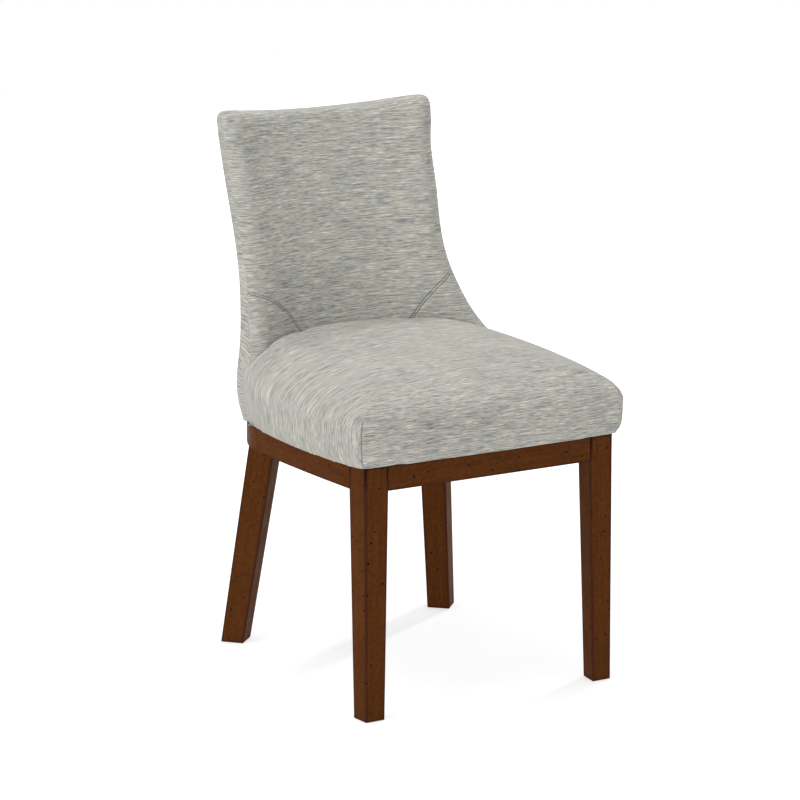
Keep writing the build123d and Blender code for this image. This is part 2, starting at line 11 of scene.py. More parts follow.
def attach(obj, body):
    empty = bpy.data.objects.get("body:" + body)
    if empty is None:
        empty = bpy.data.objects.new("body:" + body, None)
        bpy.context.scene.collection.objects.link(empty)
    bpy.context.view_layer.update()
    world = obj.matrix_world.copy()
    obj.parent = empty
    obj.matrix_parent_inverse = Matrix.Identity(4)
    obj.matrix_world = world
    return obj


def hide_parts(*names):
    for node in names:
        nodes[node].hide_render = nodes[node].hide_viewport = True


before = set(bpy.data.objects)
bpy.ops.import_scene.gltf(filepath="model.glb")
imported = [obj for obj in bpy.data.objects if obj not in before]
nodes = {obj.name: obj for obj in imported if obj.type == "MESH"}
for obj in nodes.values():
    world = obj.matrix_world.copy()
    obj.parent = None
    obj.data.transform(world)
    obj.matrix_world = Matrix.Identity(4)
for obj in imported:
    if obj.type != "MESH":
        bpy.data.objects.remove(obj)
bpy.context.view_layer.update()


# Legs: four hardwood legs, planed square and tapered, dowelled and blocked into the rails, then
# stained red-brown and lacquered. The stain gathers along the eased arrises, a painted shadow darkens
# their tops under the cloth, and small dark knocks are flecked over the faces.
LEG_FOOT, LEG_SHOULDER, LEG_TOP = 0.0008, 0.359, 0.400
ARRIS_EASE = 0.0012
ARRIS_STAIN = 0.0042
# Arris mark for the tops of legs and rails, which take a painted shadow for the shade under the hem.
HEM_SHADOW_MARK = 2.5
LEG_SIDE_AREA = 0.0012
STAIN_DEEP = (0.078, 0.0242, 0.0058, 1)
STAIN_WARM = (0.105, 0.0326, 0.0076, 1)
STAIN_CLOUD = (0.068, 0.0222, 0.0060, 1)
STAIN_PORE = (0.045, 0.0138, 0.0038, 1)
STAIN_GOLD = (0.098, 0.0390, 0.0090, 1)
STAIN_DARK = (0.058, 0.0172, 0.0048, 1)
STAIN_ARRIS = (0.046, 0.0142, 0.0085, 1)
# Near-black painted shadow along the tops of legs and rails, under the cloth's hem.
PAINTED_HEM_SHADOW = (0.012, 0.0046, 0.0026, 1)
KNOCK_BLACK = (0.0050, 0.0024, 0.0016, 1)


def add_node(tree, kind, sockets=None, **settings):
    """Add a shader node; each of its sockets takes a value or another node's output."""
    node = tree.nodes.new("ShaderNode" + kind)
    for key, value in settings.items():
        setattr(node, key, value)
    for key, value in (sockets or {}).items():
        if isinstance(value, bpy.types.NodeSocket):
            tree.links.new(value, node.inputs[key])
        else:
            node.inputs[key].default_value = value
    return node


def add_math(tree, operation, first, second=0.0):
    return add_node(tree, "Math", {0: first, 1: second}, operation=operation).outputs[0]


def add_mix(tree, share, first, second):
    """Mix two colours; the colour sockets of the mix node are the seventh and eighth."""
    return add_node(tree, "Mix", {0: share, 6: first, 7: second}, data_type="RGBA").outputs[2]


def add_range(tree, value, low, high, to_low=0.0, to_high=1.0, smooth=False):
    kind = "SMOOTHSTEP" if smooth else "LINEAR"
    sockets = {"Value": value, 1: low, 2: high, 3: to_low, 4: to_high}
    return add_node(tree, "MapRange", sockets, interpolation_type=kind).outputs[0]


def add_noise(tree, place, scale, detail=2.0, roughness=0.5, flat=True):
    """Noise over a place that is stretched by a scale along each of its axes."""
    stretched = add_node(tree, "Mapping", {"Vector": place, "Scale": scale}).outputs[0]
    sockets = {"Vector": stretched, "Scale": 1.0, "Detail": detail, "Roughness": roughness}
    size = "2D" if flat else "3D"
    return add_node(tree, "TexNoise", sockets, noise_dimensions=size).outputs[0]


def new_material(name):
    material = bpy.data.materials.new(name)
    material.use_nodes = True
    tree = material.node_tree
    return material, tree, tree.nodes["Principled BSDF"]


def stained_wood():
    """Red-brown stain over straight grain, darker on the arrises, with small dark knocks and painted
    shadow along the tops.
    """
    material, tree, finish = new_material("stained_show_wood")
    grain = add_node(tree, "UVMap", uv_map="grain").outputs[0]
    figure = add_noise(tree, grain, (150, 5, 1), 3.0, 0.6)
    pores = add_noise(tree, grain, (1400, 40, 1), 2.0, 0.6)
    cloud = add_noise(tree, grain, (38, 20, 1), 3.0, 0.55)
    mottle = add_noise(tree, grain, (190, 120, 1), 2.0, 0.6)
    colour = add_mix(tree, add_range(tree, figure, 0.3, 0.7), STAIN_DEEP, STAIN_WARM)
    colour = add_mix(tree, add_range(tree, cloud, 0.35, 0.7, 0.0, 0.55), colour, STAIN_CLOUD)
    colour = add_mix(tree, add_range(tree, pores, 0.56, 0.72, 0.0, 0.45), colour, STAIN_PORE)
    colour = add_mix(tree, add_range(tree, mottle, 0.5, 0.72, 0.0, 0.5), colour, STAIN_GOLD)
    colour = add_mix(tree, add_range(tree, mottle, 0.45, 0.28, 0.0, 0.45), colour, STAIN_DARK)
    arris = add_node(tree, "Attribute", attribute_name="arris").outputs["Fac"]
    edge = add_math(tree, "MULTIPLY", arris, add_range(tree, cloud, 0.25, 0.65, 0.55, 0.95))
    colour = add_mix(tree, edge, colour, STAIN_ARRIS)
    # Painted shadow: the marked top rims turn near black, for the shade under the hem.
    colour = add_mix(tree, add_range(tree, arris, 1.0, 2.0, 0.0, 0.85), colour, PAINTED_HEM_SHADOW)
    cells = {"Vector": grain, "Scale": 30.0, "Randomness": 1.0}
    knocks = add_node(tree, "TexVoronoi", cells, voronoi_dimensions="2D", feature="F1")
    pick = add_node(tree, "SeparateColor", {0: knocks.outputs["Color"]})
    size = add_range(tree, pick.outputs[1], 0.0, 1.0, 0.040, 0.070)
    spot = add_math(tree, "DIVIDE", knocks.outputs["Distance"], size)
    spot = add_range(tree, spot, 0.6, 1.05, 1.0, 0.0, smooth=True)
    spot = add_math(tree, "MULTIPLY", spot, add_range(tree, pick.outputs[0], 0.12, 0.16))
    colour = add_mix(tree, add_math(tree, "MULTIPLY", spot, 0.92), colour, KNOCK_BLACK)
    tree.links.new(colour, finish.inputs["Base Color"])
    tree.links.new(add_range(tree, cloud, 0.3, 0.7, 0.40, 0.52), finish.inputs["Roughness"])
    finish.inputs["Specular IOR Level"].default_value = 0.012
    height = add_math(tree, "SUBTRACT", add_math(tree, "MULTIPLY", pores, -0.25), spot)
    bump = add_node(tree, "Bump", {"Height": height, "Strength": 0.35, "Distance": 0.0004})
    tree.links.new(bump.outputs[0], finish.inputs["Normal"])
    return material


show_wood = stained_wood()


def corner_ring(node, height, directions):
    """Corners of a leg at one height: its furthest vertex in each direction."""
    points = [v.co for v in nodes[node].data.vertices if abs(v.co.z - height) < 0.0002]
    return [max(points, key=lambda point: point.dot(direction)) for direction in directions]


def lay_grain(bm, along):
    """Grain map in metres: across and along the grain on each face."""
    grain = bm.loops.layers.uv.new("grain")
    along = Vector(along).normalized()
    for face in bm.faces:
        across = along.cross(face.normal)
        across = across.normalized() if across.length > 0.3 else along.orthogonal().normalized()
        start = Vector((face.normal.x * 0.37 + face.normal.z * 0.19, face.normal.y * 0.71))
        for loop in face.loops:
            loop[grain].uv = start + Vector((loop.vert.co.dot(across), loop.vert.co.dot(along)))


def finish_piece(bm, name, material, smooth=True):
    """Turn the bmesh into a finished object with one material."""
    mesh = bpy.data.meshes.new(name)
    for face in bm.faces:
        face.smooth = smooth
    bm.to_mesh(mesh)
    bm.free()
    mesh.materials.append(material)
    piece = bpy.data.objects.new(name, mesh)
    bpy.context.scene.collection.objects.link(piece)
    return piece


def stand_in(piece, slot, *stood_for):
    """The piece rides on the chair and stands for CAD nodes; slot is not used."""
    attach(piece, "root")
    if stood_for:
        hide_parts(*stood_for)


def flat_normals(piece):
    """Keep broad faces flat and let only the eased arrises turn the light."""
    modifier = piece.modifiers.new("flat_faces", "WEIGHTED_NORMAL")
    modifier.weight = 100
    modifier.keep_sharp = True


def make_leg(name, node, directions):
    """A leg from three rings of corners: bridged, closed, eased, marked along its arrises and marked
    at its top for painted shadow.
    """
    bm = bmesh.new()
    rings, loops = [], []
    for height in (LEG_FOOT, LEG_SHOULDER, LEG_TOP):
        ring = [bm.verts.new(corner) for corner in corner_ring(node, height, directions)]
        loops.append([bm.edges.new((ring[i - 1], ring[i])) for i in range(4)])
        rings.append(ring)
    axis = sum((v.co for v in rings[1]), Vector()) - sum((v.co for v in rings[0]), Vector())
    for low, high in zip(loops, loops[1:]):
        bmesh.ops.bridge_loops(bm, edges=low + high)
    bmesh.ops.holes_fill(bm, edges=loops[0] + loops[-1], sides=4)
    bmesh.ops.recalc_face_normals(bm, faces=bm.faces)
    sharp = [edge for edge in bm.edges if edge.calc_face_angle(0) > 0.7]
    bmesh.ops.bevel(bm, geom=sharp, offset=ARRIS_EASE, affect="EDGES", segments=3, profile=0.5,
                    material=-1)
    arris = bm.verts.layers.float.new("arris")
    # Top rim vertices are marked for the painted shadow under the hem.
    for vert in bm.verts:
        vert[arris] = HEM_SHADOW_MARK if vert.co.z > LEG_TOP - ARRIS_EASE * 1.5 else 1.0
    sides = [face for face in bm.faces
             if face.calc_area() > LEG_SIDE_AREA and abs(face.normal.z) < 0.5]
    bmesh.ops.inset_region(bm, faces=sides, thickness=ARRIS_STAIN, use_even_offset=True)
    for face in sides:
        for vert in face.verts:
            vert[arris] = 0.0
    lay_grain(bm, axis)
    leg = finish_piece(bm, name, show_wood)
    flat_normals(leg)
    stand_in(leg, "show_wood", node)


SQUARE = [Vector((x, y, 0)) for x, y in ((-1, -1), (1, -1), (1, 1), (-1, 1))]
DIAMOND = [Vector((x, y, 0)) for x, y in ((0, -1), (1, 0), (0, 1), (-1, 0))]
for side in ("left", "right"):
    make_leg("tapered_front_leg_" + side, "front_leg_" + side, SQUARE)
    make_leg("splayed_rear_leg_" + side, "rear_leg_" + side, DIAMOND)


# Rails: a front rail, two bowed side rails and a bent back rail of the same stained hardwood,
# dowelled between the legs and flush with them. Their eased ends leave a fine line at each joint.
RAIL_EASE = 0.0009
RAIL_LOW, RAIL_HIGH = 0.359, 0.400


def make_rail(name, node, along):
    """A rail with its node's outline, eased along its edges, marked where the stain gathers and
    marked at its top for painted shadow.
    """
    bm = bmesh.new()
    bm.from_mesh(nodes[node].data)
    bmesh.ops.remove_doubles(bm, verts=bm.verts[:], dist=0.00002)
    bmesh.ops.dissolve_limit(bm, angle_limit=0.004, verts=bm.verts[:], edges=bm.edges[:])
    edges = []
    for edge in bm.edges:
        heights = [vert.co.z for vert in edge.verts]
        rim = max(heights) < RAIL_LOW + 0.0002 or min(heights) > RAIL_HIGH - 0.0002
        upright = abs(heights[0] - heights[1]) > 0.03
        if (rim or upright) and edge.calc_face_angle(0) > 0.6:
            edges.append(edge)
    bmesh.ops.bevel(bm, geom=edges, offset=RAIL_EASE, affect="EDGES", segments=2, profile=0.5,
                    material=-1)
    for height in (RAIL_LOW + RAIL_EASE + ARRIS_STAIN, RAIL_HIGH - RAIL_EASE - ARRIS_STAIN):
        parts = bm.verts[:] + bm.edges[:] + bm.faces[:]
        bmesh.ops.bisect_plane(bm, geom=parts, dist=0.00001, plane_co=(0, 0, height),
                               plane_no=(0, 0, 1))
    arris = bm.verts.layers.float.new("arris")
    # Top rim vertices are marked for the painted shadow under the hem.
    for vert in bm.verts:
        if vert.co.z > RAIL_HIGH - RAIL_EASE * 1.5:
            vert[arris] = HEM_SHADOW_MARK
        else:
            vert[arris] = 1.0 if vert.co.z - RAIL_LOW < RAIL_EASE * 1.5 else 0.0
    lay_grain(bm, along)
    rail = finish_piece(bm, name, show_wood)
    rail.data.set_sharp_from_angle(angle=0.5)
    stand_in(rail, "show_wood", node)


make_rail("straight_front_rail", "front_rail", (1, 0, 0))
make_rail("bent_back_rail", "back_rail", (1, 0, 0))
for side in ("left", "right"):
    make_rail("bowed_side_rail_" + side, "side_rail_" + side, (0, 1, 0))


# Foot glides: four thin pads of dark moulded nylon, each on a pin that is knocked into the end
# grain of a foot.
NYLON_DARK, NYLON_WORN = (0.012, 0.010, 0.009, 1), (0.030, 0.026, 0.023, 1)


def nylon():
    material, tree, finish = new_material("dark_nylon")
    place = add_node(tree, "TexCoord").outputs["Object"]
    grit = add_noise(tree, place, (900, 900, 900), 2.0, 0.6, flat=False)
    colour = add_mix(tree, grit, NYLON_DARK, NYLON_WORN)
    tree.links.new(colour, finish.inputs["Base Color"])
    tree.links.new(add_range(tree, grit, 0.3, 0.7, 0.45, 0.65), finish.inputs["Roughness"])
    bump = add_node(tree, "Bump", {"Height": grit, "Strength": 0.2, "Distance": 0.0001})
    tree.links.new(bump.outputs[0], finish.inputs["Normal"])
    return material


def dress_nodes(material, *names):
    """Give carried-over CAD nodes a finish."""
    for name in names:
        nodes[name].data.materials.clear()
        nodes[name].data.materials.append(material)


dress_nodes(nylon(), "foot_glides")


# Blocks, board and back frame: unfinished pale timber inside the chair. The corner blocks are
# glued and screwed to the legs, the plywood board carries the seat, and dowelled posts and rails
# carry the back.
TIMBER_PALE = (0.56, 0.36, 0.19, 1)
TIMBER_RING = (0.40, 0.235, 0.11, 1)
TIMBER_FIBRE = (0.27, 0.15, 0.07, 1)


def plain_wood(name, turn):
    """Sawn pale wood whose grain is turned to run along the piece."""
    material, tree, finish = new_material(name)
    place = add_node(tree, "TexCoord").outputs["Object"]
    place = add_node(tree, "Mapping", {"Vector": place, "Rotation": turn}).outputs[0]
    rings = add_noise(tree, place, (14, 150, 150), 3.0, 0.6, flat=False)
    fibre = add_noise(tree, place, (60, 1500, 1500), 2.0, 0.6, flat=False)
    colour = add_mix(tree, add_range(tree, rings, 0.3, 0.7), TIMBER_PALE, TIMBER_RING)
    colour = add_mix(tree, add_range(tree, fibre, 0.5, 0.75, 0.0, 0.4), colour, TIMBER_FIBRE)
    tree.links.new(colour, finish.inputs["Base Color"])
    tree.links.new(add_range(tree, fibre, 0.3, 0.7, 0.62, 0.78), finish.inputs["Roughness"])
    bump = add_node(tree, "Bump", {"Height": fibre, "Strength": 0.3, "Distance": 0.0003})
    tree.links.new(bump.outputs[0], finish.inputs["Normal"])
    return material


cross_wood = plain_wood("plain_wood_across", (0, 0, 0))
upright_wood = plain_wood("plain_wood_upright", (0, math.pi / 2, 0))
for corner in ("front_left", "front_right", "rear_left", "rear_right"):
    dress_nodes(cross_wood, "corner_block_" + corner)
dress_nodes(cross_wood, "seat_board", "crest_rail", "lower_back_rail", "rail_dowels")
dress_nodes(upright_wood, "back_post_left", "back_post_right", "back_dowels")


# Screws, bolts and staples: zinc-plated steel, left bare inside the frame. Screws hold the blocks
# and the board, bolts and washers hold the posts to the back rail, and staples hold the dust cover.
ZINC_DULL, ZINC_BRIGHT = (0.52, 0.51, 0.47, 1), (0.70, 0.70, 0.68, 1)


def plated_steel():
    material, tree, finish = new_material("zinc_plated_steel")
    place = add_node(tree, "TexCoord").outputs["Object"]
    bloom = add_noise(tree, place, (240, 240, 240), 3.0, 0.6, flat=False)
    colour = add_mix(tree, bloom, ZINC_DULL, ZINC_BRIGHT)
    tree.links.new(colour, finish.inputs["Base Color"])
    tree.links.new(add_range(tree, bloom, 0.3, 0.7, 0.28, 0.48), finish.inputs["Roughness"])
    finish.inputs["Metallic"].default_value = 1.0
    return material


dress_nodes(plated_steel(), "block_screws", "seat_screws", "back_bolts", "back_washers",
            "dust_cover_staples")


# Back webbing: four woven straps, stretched from post to post and tacked down, which carry the
# padding of the back.
STRAP_GROUND, STRAP_YARN = (0.10, 0.075, 0.045, 1), (0.33, 0.26, 0.17, 1)


def add_ribs(tree, place, scale, direction):
    sockets = {"Vector": place, "Scale": scale}
    return add_node(tree, "TexWave", sockets, bands_direction=direction).outputs["Fac"]


def woven_strap():
    material, tree, finish = new_material("woven_strap")
    place = add_node(tree, "TexCoord").outputs["Object"]
    rows, picks = add_ribs(tree, place, 160.0, "Z"), add_ribs(tree, place, 110.0, "X")
    weave = add_math(tree, "MULTIPLY", rows, picks)
    colour = add_mix(tree, weave, STRAP_GROUND, STRAP_YARN)
    tree.links.new(colour, finish.inputs["Base Color"])
    finish.inputs["Roughness"].default_value = 0.85
    bump = add_node(tree, "Bump", {"Height": weave, "Strength": 0.5, "Distance": 0.0004})
    tree.links.new(bump.outputs[0], finish.inputs["Normal"])
    return material


dress_nodes(woven_strap(), "back_webbing")


# Seat cushion: one domed foam pad on the board, under a cover of heathered slub weave that is drawn
# down over it and stapled below. The threads run across the seat, and a sewn dart closes each front
# corner.
VOXEL = 0.006
FOOT_RUN = 0.012
SKIN_START, SKIN_REACH = 0.012, 0.022
SEAT_FOOT = 0.400
RIM_MERGE = 0.0022
PULL = 0.0004
SEAT_SWELL = 0.0010
CLOTH_FRAMES = 8
HEM_WIDTH = 0.018
HEM_DEPTH = 0.0018
DART_CORNER = Vector((0.2105, -0.2691, 0))
DART_TOP = 0.478
DART_DEPTH = 0.0016
DART_WIDTH = 0.0011
DART_CUTS = (-0.0022, -0.0010, 0.0, 0.0010, 0.0022)
FRONT_TOP = 0.503
PANELS = 8
SOLVE_ROUNDS = 700
END_PITCH, PICK_PITCH = 0.0016, 0.0013
YARN_TONES = [(0.0, (0.160, 0.168, 0.162)), (0.30, (0.292, 0.296, 0.277)),
              (0.52, (0.388, 0.384, 0.350)), (0.74, (0.486, 0.477, 0.426)),
              (1.0, (0.680, 0.660, 0.580))]
YARN_BEIGE = (0.455, 0.375, 0.262, 1)
YARN_BLUE = (0.255, 0.285, 0.300, 1)
SEAM_SHADE = (0.060, 0.060, 0.056, 1)


def heathered_weave():
    """Slub yarns in greys, beige and ivory; the weave map runs along and across the threads."""
    material, tree, finish = new_material("heathered_slub_weave")
    weave = add_node(tree, "UVMap", uv_map="weave").outputs[0]
    slub = add_noise(tree, weave, (90, 820, 1), 1.5, 0.55)
    yarn = add_noise(tree, weave, (30, 560, 1), 1.0, 0.5)
    drift = add_noise(tree, weave, (12, 180, 1), 2.0, 0.55)
    cloud = add_noise(tree, weave, (7, 14, 1), 2.0, 0.5)
    aside = add_node(tree, "Mapping", {"Vector": weave, "Location": (3.1, 7.7, 0)}).outputs[0]
    tint = add_noise(tree, aside, (40, 620, 1), 1.0, 0.5)
    tone = add_math(tree, "MULTIPLY", slub, 0.48)
    for noise, weight in ((yarn, 0.52), (drift, 0.22), (cloud, 0.10)):
        tone = add_math(tree, "ADD", tone, add_math(tree, "MULTIPLY", noise, weight))
    ramp = add_node(tree, "ValToRGB", {0: add_range(tree, tone, 0.44, 0.88)})
    stops = ramp.color_ramp.elements
    for index, (place, colour) in enumerate(YARN_TONES):
        stop = stops[index] if index < 2 else stops.new(place)
        stop.position = place
        stop.color = (*colour, 1)
    colour = ramp.outputs[0]
    colour = add_mix(tree, add_range(tree, tint, 0.60, 0.72, 0.0, 0.55), colour, YARN_BEIGE)
    colour = add_mix(tree, add_range(tree, tint, 0.40, 0.28, 0.0, 0.45), colour, YARN_BLUE)
    # Painted shade: the weave darkens in the sunk seam, stitch and dart valleys.
    seam_shade_mask = add_node(tree, "Attribute", attribute_name="seam").outputs["Fac"]
    colour = add_mix(tree, add_math(tree, "MULTIPLY", seam_shade_mask, 0.6), colour, SEAM_SHADE)
    tree.links.new(colour, finish.inputs["Base Color"])
    finish.inputs["Roughness"].default_value = 0.9
    finish.inputs["Specular IOR Level"].default_value = 0.15
    finish.inputs["Sheen Weight"].default_value = 0.12
    finish.inputs["Sheen Roughness"].default_value = 0.5
    axes = add_node(tree, "SeparateXYZ", {0: weave}).outputs
    ends = add_math(tree, "MULTIPLY", axes[0], 2 * math.pi / END_PITCH)
    picks = add_math(tree, "MULTIPLY", axes[1], 2 * math.pi / PICK_PITCH)
    rib = add_math(tree, "MULTIPLY", add_math(tree, "SINE", ends), add_math(tree, "SINE", picks))
    height = add_math(tree, "ADD", add_math(tree, "MULTIPLY", rib, 0.22), slub)
    height = add_math(tree, "SUBTRACT", height, add_math(tree, "MULTIPLY", seam_shade_mask, 1.5))
    bump = add_node(tree, "Bump", {"Height": height, "Strength": 0.5, "Distance": 0.0006})
    tree.links.new(bump.outputs[0], finish.inputs["Normal"])
    return material


cover_cloth = heathered_weave()


def gathered_form(name, skins, fillings):
    """One closed, even mesh over several nodes, drawn onto their outer skins."""
    bm = bmesh.new()
    for source in skins + fillings:
        for drop in (0.0, FOOT_RUN):
            first = len(bm.verts)
            bm.from_mesh(nodes[source].data)
            bmesh.ops.translate(bm, vec=(0, 0, -drop), verts=bm.verts[first:])
    bmesh.ops.remove_doubles(bm, verts=bm.verts[:], dist=0.00002)
    blank = finish_piece(bm, name + "_blank", cover_cloth)
    remesh = blank.modifiers.new("remesh", "REMESH")
    remesh.mode = "VOXEL"
    remesh.voxel_size = VOXEL
    depsgraph = bpy.context.evaluated_depsgraph_get()
    mesh = bpy.data.meshes.new_from_object(blank.evaluated_get(depsgraph))
    bpy.data.meshes.remove(blank.data)
    bm = bmesh.new()
    bm.from_mesh(mesh)
    bpy.data.meshes.remove(mesh)
    keep_outer_shell(bm)
    skin = skin_tree(*skins)
    for rounds in (5, 2):
        relax(bm, bm.verts[:], rounds)
        bm.normal_update()
        for vert in bm.verts:
            start = vert.co + vert.normal * SKIN_START
            place = skin.ray_cast(start, -vert.normal, SKIN_REACH)[0]
            if place and vert.co.z > SEAT_FOOT - 0.002:
                vert.co = place
    return bm


def relax(bm, verts, rounds):
    for _ in range(rounds):
        bmesh.ops.smooth_vert(bm, verts=verts, factor=0.5, use_axis_x=True, use_axis_y=True,
                              use_axis_z=True)


def skin_tree(*names):
    """Search tree over the faces of some nodes."""
    bm = bmesh.new()
    for name in names:
        bm.from_mesh(nodes[name].data)
    tree = BVHTree.FromBMesh(bm)
    bm.free()
    return tree


def keep_outer_shell(bm):
    """Drop every loose part but the one with the most vertices."""
    bm.verts.ensure_lookup_table()
    left, shells = set(bm.verts), []
    while left:
        shell, edge = set(), [next(iter(left))]
        while edge:
            vert = edge.pop()
            if vert not in shell:
                shell.add(vert)
                edge += [link.other_vert(vert) for link in vert.link_edges]
        shells.append(shell)
        left -= shell
    shells.sort(key=len)
    for shell in shells[:-1]:
        bmesh.ops.delete(bm, geom=list(shell), context="VERTS")


def cut_foot(bm, height):
    """Trim a form flat at its foot and close it with one face, with a crisp edge round it."""
    parts = bm.verts[:] + bm.edges[:] + bm.faces[:]
    cut = bmesh.ops.bisect_plane(bm, geom=parts, dist=0.00001, plane_co=(0, 0, height),
                                 plane_no=(0, 0, 1), clear_inner=True)
    rim = [part for part in cut["geom_cut"] if isinstance(part, bmesh.types.BMVert)]
    bmesh.ops.remove_doubles(bm, verts=rim, dist=RIM_MERGE)
    rim = [edge for edge in bm.edges if edge.is_boundary]
    faces = bmesh.ops.holes_fill(bm, edges=rim, sides=0)["faces"]
    foot = max(faces, key=lambda face: face.calc_area())
    crease = bm.edges.layers.float.new("crease_edge")
    for edge in foot.edges:
        edge[crease] = 1.0
    return foot


def sink_foot(bm, foot):
    """Leave a narrow hem round the foot and raise the rest for the lining."""
    bmesh.ops.inset_region(bm, faces=[foot], thickness=HEM_WIDTH, use_even_offset=True)
    bmesh.ops.translate(bm, vec=(0, 0, HEM_DEPTH), verts=foot.verts)
    bmesh.ops.triangulate(bm, faces=[foot])


def fill_out(bm, name, swell, is_held):
    """Draw the form in, then let air pressure fill its cloth out again between the held lines."""
    bm.normal_update()
    hem = [vert for vert in bm.verts if vert.co.z < SEAT_FOOT + 0.003]
    held = hem + [vert for vert in bm.verts if is_held(vert)]
    for vert in set(bm.verts) - set(hem):
        vert.co -= vert.normal * PULL
    bm.verts.index_update()
    start = np.array([vert.co for vert in bm.verts])
    fixed = [vert.index for vert in held]
    moved = inflate(bm, name, fixed)
    outward = np.array([vert.normal for vert in bm.verts])
    rise = np.clip(((moved - start) * outward).sum(1), 0.0, swell)
    for vert, place in zip(bm.verts, start + outward * rise[:, None]):
        vert.co = place


def inflate(bm, name, held):
    """Run the cloth for a few frames with inner pressure and no gravity."""
    mesh = bpy.data.meshes.new(name + "_sim")
    bm.to_mesh(mesh)
    body = bpy.data.objects.new(name + "_sim", mesh)
    bpy.context.scene.collection.objects.link(body)
    pins = body.vertex_groups.new(name="held")
    pins.add(held, 1.0, "ADD")
    cloth = body.modifiers.new("cloth", "CLOTH")
    cloth.settings.quality = 4
    cloth.settings.mass = 0.3
    cloth.settings.tension_stiffness = 40
    cloth.settings.compression_stiffness = 40
    cloth.settings.shear_stiffness = 8
    cloth.settings.bending_stiffness = 2
    cloth.settings.use_pressure = True
    cloth.settings.uniform_pressure_force = 1.5
    cloth.settings.vertex_group_mass = "held"
    cloth.settings.effector_weights.gravity = 0
    cloth.collision_settings.use_collision = False
    scene = bpy.context.scene
    for step in range(1, CLOTH_FRAMES + 1):
        scene.frame_set(step)
    shape = body.evaluated_get(bpy.context.evaluated_depsgraph_get())
    moved = np.array([vert.co for vert in shape.data.vertices])
    scene.frame_set(1)
    bpy.data.meshes.remove(mesh)
    return moved


def lay_weave(bm, panel_of, thread_of):
    """Weave map in metres, solved so that its steps follow the threads over the surface."""
    bm.normal_update()
    bm.verts.index_update()
    verts = np.array([vert.co for vert in bm.verts])
    normals = np.array([vert.normal for vert in bm.verts])
    corners = [(loop.vert.index, panel_of(face)) for face in bm.faces for loop in face.loops]
    keys = np.array([vert * PANELS + panel for vert, panel in corners])
    kept, ids = np.unique(keys, return_inverse=True)
    place, facing, panel = verts[kept // PANELS], normals[kept // PANELS], kept % PANELS
    threads = thread_of(place, facing, panel)
    threads -= facing * (threads * facing).sum(1)[:, None]
    threads /= np.maximum(np.linalg.norm(threads, axis=1), 1e-9)[:, None]
    rows = np.cross(facing, threads)
    pairs, first = [], 0
    for face in bm.faces:
        size = len(face.loops)
        ring = ids[first:first + size]
        pairs.append(np.stack([ring, np.roll(ring, -1)], axis=1))
        first += size
    pairs = np.unique(np.sort(np.concatenate(pairs), axis=1), axis=0)
    a, b = pairs.T
    step = place[b] - place[a]
    weave = []
    for way, start in ((threads, place[:, 0]), (rows, place[:, 2] - place[:, 1] * 0.3)):
        wanted = ((way[a] + way[b]) / 2 * step).sum(1)
        weave.append(solve_steps(a, b, wanted, start, len(kept)))
    weave = np.stack(weave, axis=1)
    layer = bm.loops.layers.uv.new("weave")
    for corner, loop in zip(ids, (loop for face in bm.faces for loop in face.loops)):
        loop[layer].uv = weave[corner]


def solve_steps(a, b, wanted, start, count):
    """Least-squares values at points whose differences along the edges are wanted."""
    degree = np.bincount(a, minlength=count) + np.bincount(b, minlength=count)
    degree = np.maximum(degree, 1).astype(float)

    def spread(flow):
        return np.bincount(b, flow, count) - np.bincount(a, flow, count)

    value = start.astype(float).copy()
    rest = spread(wanted - (value[b] - value[a]))
    lead = rest / degree
    way, size = lead.copy(), rest @ lead
    for _ in range(SOLVE_ROUNDS):
        pull = spread(way[b] - way[a])
        gain = size / max(way @ pull, 1e-30)
        value += gain * way
        rest -= gain * pull
        lead = rest / degree
        new_size = rest @ lead
        if new_size < 1e-12:
            break
        way = lead + new_size / size * way
        size = new_size
    return value


def dart_gap(place):
    """Signed distance from the dart's plane: above zero on the side of the seat."""
    return (abs(place.x) - DART_CORNER.x + place.y - DART_CORNER.y) / math.sqrt(2)


def on_dart(vert):
    front = vert.co.y < -0.24 and vert.co.z < DART_TOP
    return front and abs(dart_gap(vert.co)) < 0.003


def cut_dart(bm):
    """Loops along the dart of each front corner, sunk into a fine valley and marked for painted
    shade.
    """
    for side in (-1, 1):
        normal = Vector((side, 1, 0)).normalized()
        for gap in DART_CUTS:
            point = Vector((side * DART_CORNER.x, DART_CORNER.y, 0)) + normal * gap
            near = [face for face in bm.faces if is_by_dart(face.calc_center_median(), side)]
            parts = list({part for face in near for part in (*face.verts, *face.edges)}) + near
            bmesh.ops.bisect_plane(bm, geom=parts, dist=0.00005, plane_co=point, plane_no=normal)
    bm.normal_update()
    seam = bm.verts.layers.float.new("seam")
    for vert in bm.verts:
        if not is_by_dart(vert.co, math.copysign(1, vert.co.x)):
            continue
        gap = abs(dart_gap(vert.co)) / DART_WIDTH
        fade = min(1.0, max(0.0, (DART_TOP - vert.co.z) / 0.012))
        # Mark the dart's valley for painted shade.
        vert[seam] = fade * max(0.0, 1 - gap)
        vert.co -= vert.normal * (DART_DEPTH * fade * math.exp(-gap * gap))


def is_by_dart(place, side):
    front = place.y < -0.245 and side * place.x > 0.18 and 0.4005 < place.z < DART_TOP + 0.01
    return front and abs(dart_gap(place)) < 0.014


def seat_panel(face):
    """1 on the front of the seat, 0 on its top and sides and 3 underneath."""
    centre = face.calc_center_median()
    if face.normal.z < -0.9:
        return 3
    return 1 if dart_gap(centre) < 0 and centre.z < FRONT_TOP and centre.y < -0.2 else 0


